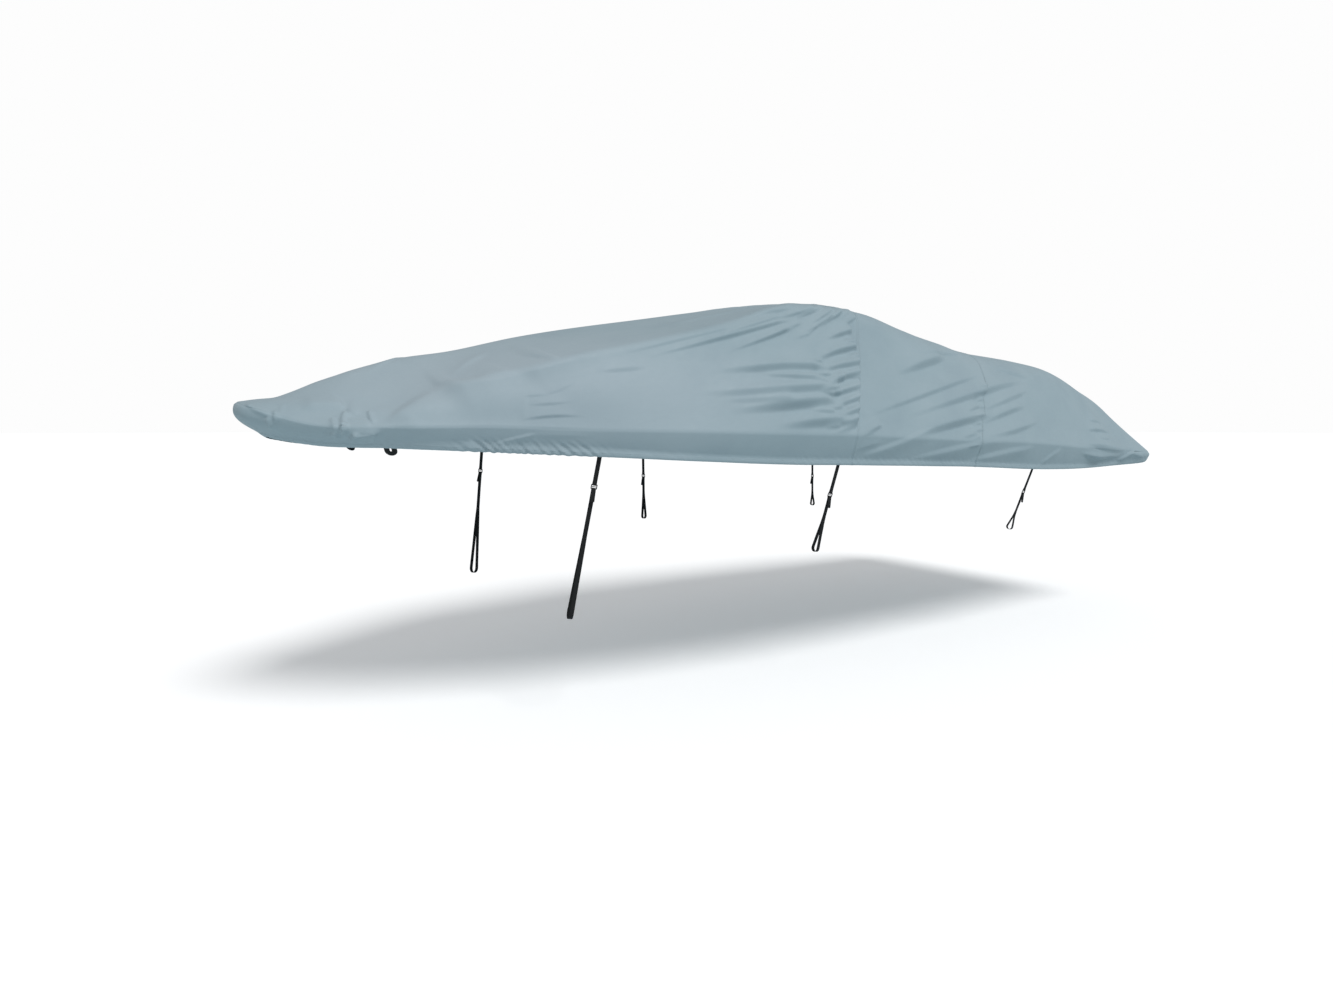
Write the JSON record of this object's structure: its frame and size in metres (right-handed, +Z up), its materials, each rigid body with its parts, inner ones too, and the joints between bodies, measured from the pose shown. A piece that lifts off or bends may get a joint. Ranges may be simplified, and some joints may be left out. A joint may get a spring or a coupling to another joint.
{
  "type": "boat cover",
  "caption": "Fitted fabric cover for a runabout, draped over bow, windshield and stern, with a rolled hem, gathered seam, and buckled webbing tie-down straps.",
  "frame": {"origin": "underside of the cover's top at its highest point, on the centreline, where the support under it bears", "axes": "+X aft along the boat, +Y to starboard, +Z up"},
  "size_m": [7.2159, 2.5928, 2.0344],
  "materials": {
    "cover_cloth": "slate blue coated woven polyester, dull",
    "webbing": "black woven polypropylene webbing",
    "buckle_plastic": "black moulded acetal, slightly worn"
  },
  "bodies": {
    "root": {"front_panel": "cover_cloth", "middle_panel": "cover_cloth", "aft_panel": "cover_cloth", "loop_port": "webbing", "loop_starboard": "webbing", "tab_bow_port": "webbing", "buckle_bow_port": "buckle_plastic", "strap_bow_port": "webbing", "tab_mid_port": "webbing", "buckle_mid_port": "buckle_plastic", "strap_mid_port": "webbing", "tab_aft_port": "webbing", "buckle_aft_port": "buckle_plastic", "strap_aft_port": "webbing", "tab_bow_starboard": "webbing", "buckle_bow_starboard": "buckle_plastic", "strap_bow_starboard": "webbing", "tab_mid_starboard": "webbing", "buckle_mid_starboard": "buckle_plastic", "strap_mid_starboard": "webbing", "tab_aft_starboard": "webbing", "buckle_aft_starboard": "buckle_plastic", "strap_aft_starboard": "webbing"}
  },
  "joints": []
}
